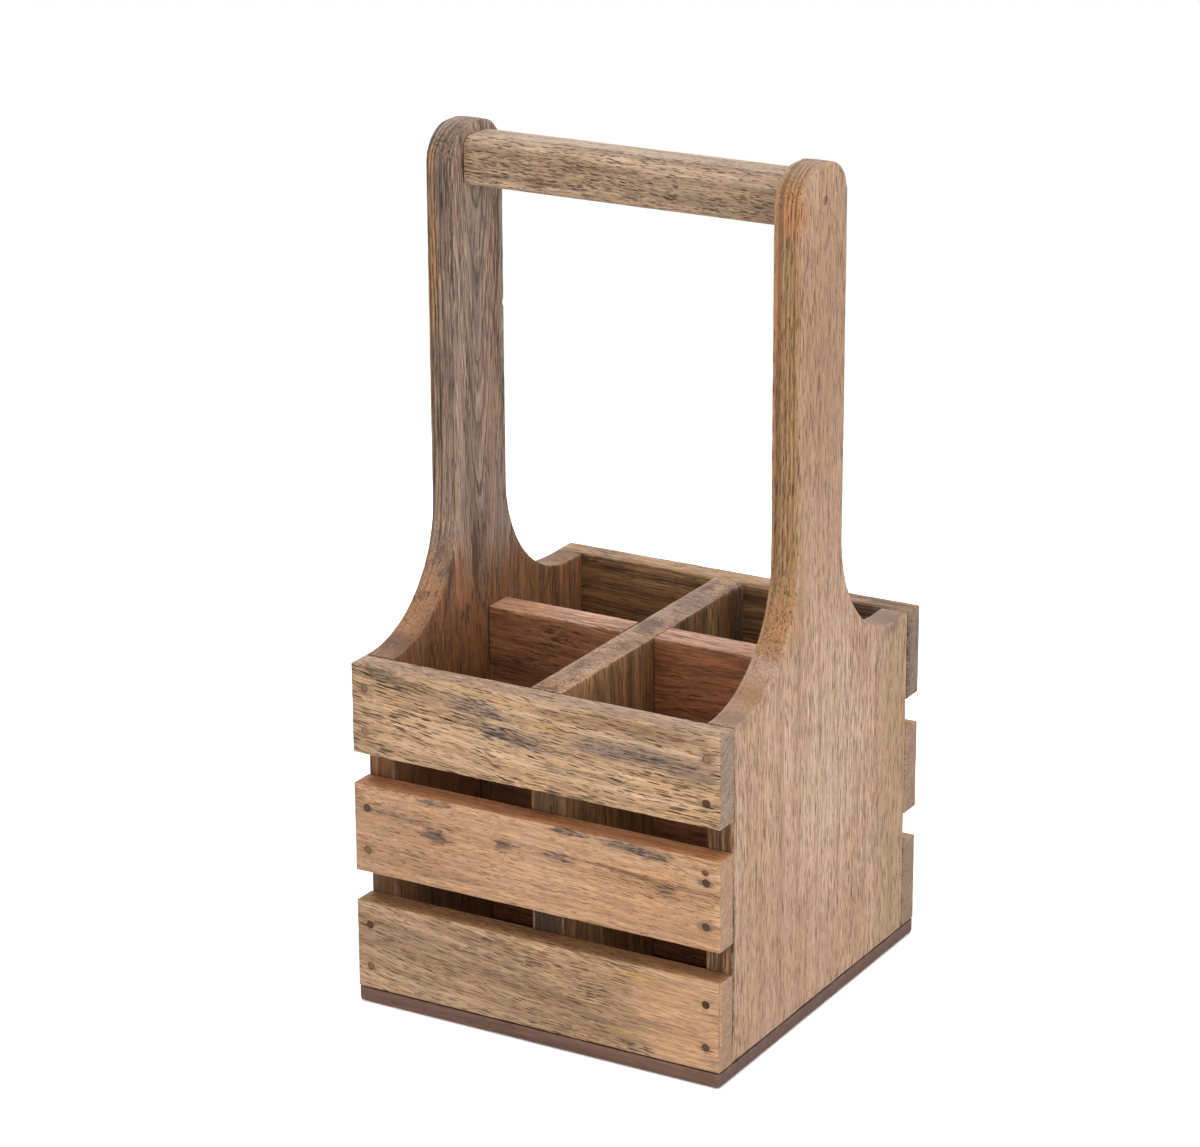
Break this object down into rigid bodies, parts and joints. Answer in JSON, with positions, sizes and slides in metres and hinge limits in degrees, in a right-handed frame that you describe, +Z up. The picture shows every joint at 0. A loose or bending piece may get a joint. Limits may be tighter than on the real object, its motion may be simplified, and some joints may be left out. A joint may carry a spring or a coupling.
{
  "type": "cutlery caddy",
  "caption": "Slatted wooden cutlery caddy: open-topped compartments between tall shouldered side panels joined by a carrying rail, on a thin flat base.",
  "frame": {"origin": "middle of the underside of the base board, on the surface that the caddy stands on", "axes": "+Z up, +X to the right across the front slats, -Y towards the front"},
  "size_m": [0.133, 0.137, 0.2794],
  "materials": {
    "base_board": "thin purplish-brown board, dull",
    "left_panel_wood": "mango wood, grey-brown with dark figure, waxed matt",
    "right_panel_wood": "mango wood, pale pinkish tan with fine streaks, waxed matt",
    "rail_wood": "mango wood, tan with dark pores, handled smooth",
    "bottom_slat_wood": "mango wood, grey-brown to orange tan, waxed matt",
    "middle_slat_wood": "mango wood, orange tan with dark blotches, waxed matt",
    "top_slat_wood": "mango wood, yellowish tan with grey streaks, waxed matt",
    "length_divider_wood": "mango wood, brown, end grain on top, waxed matt",
    "cross_divider_wood": "mango wood, reddish brown, waxed matt",
    "nail_steel": "dark oxidised steel"
  },
  "bodies": {
    "root": {"base_panel": "base_board", "left_side_panel": "left_panel_wood", "right_side_panel": "right_panel_wood", "handle_rail": "rail_wood", "front_slat_bottom": "bottom_slat_wood", "front_slat_middle": "middle_slat_wood", "front_slat_top": "top_slat_wood", "rear_slat_bottom": "bottom_slat_wood", "rear_slat_middle": "middle_slat_wood", "rear_slat_top": "top_slat_wood", "front_to_back_divider": "length_divider_wood", "cross_divider": "cross_divider_wood", "base_nail_left_1": "nail_steel", "base_nail_left_2": "nail_steel", "base_nail_left_3": "nail_steel", "base_nail_right_1": "nail_steel", "base_nail_right_2": "nail_steel", "base_nail_right_3": "nail_steel", "rail_nail_left": "nail_steel", "rail_nail_right": "nail_steel", "front_slat_bottom_nail_left_lower": "nail_steel", "front_slat_bottom_nail_left_upper": "nail_steel", "front_slat_bottom_nail_right_lower": "nail_steel", "front_slat_bottom_nail_right_upper": "nail_steel", "front_slat_middle_nail_left_lower": "nail_steel", "front_slat_middle_nail_left_upper": "nail_steel", "front_slat_middle_nail_right_lower": "nail_steel", "front_slat_middle_nail_right_upper": "nail_steel", "front_slat_top_nail_left_lower": "nail_steel", "front_slat_top_nail_left_upper": "nail_steel", "front_slat_top_nail_right_lower": "nail_steel", "front_slat_top_nail_right_upper": "nail_steel", "rear_slat_bottom_nail_left_lower": "nail_steel", "rear_slat_bottom_nail_left_upper": "nail_steel", "rear_slat_bottom_nail_right_lower": "nail_steel", "rear_slat_bottom_nail_right_upper": "nail_steel", "rear_slat_middle_nail_left_lower": "nail_steel", "rear_slat_middle_nail_left_upper": "nail_steel", "rear_slat_middle_nail_right_lower": "nail_steel", "rear_slat_middle_nail_right_upper": "nail_steel", "rear_slat_top_nail_left_lower": "nail_steel", "rear_slat_top_nail_left_upper": "nail_steel", "rear_slat_top_nail_right_lower": "nail_steel", "rear_slat_top_nail_right_upper": "nail_steel"}
  },
  "joints": []
}
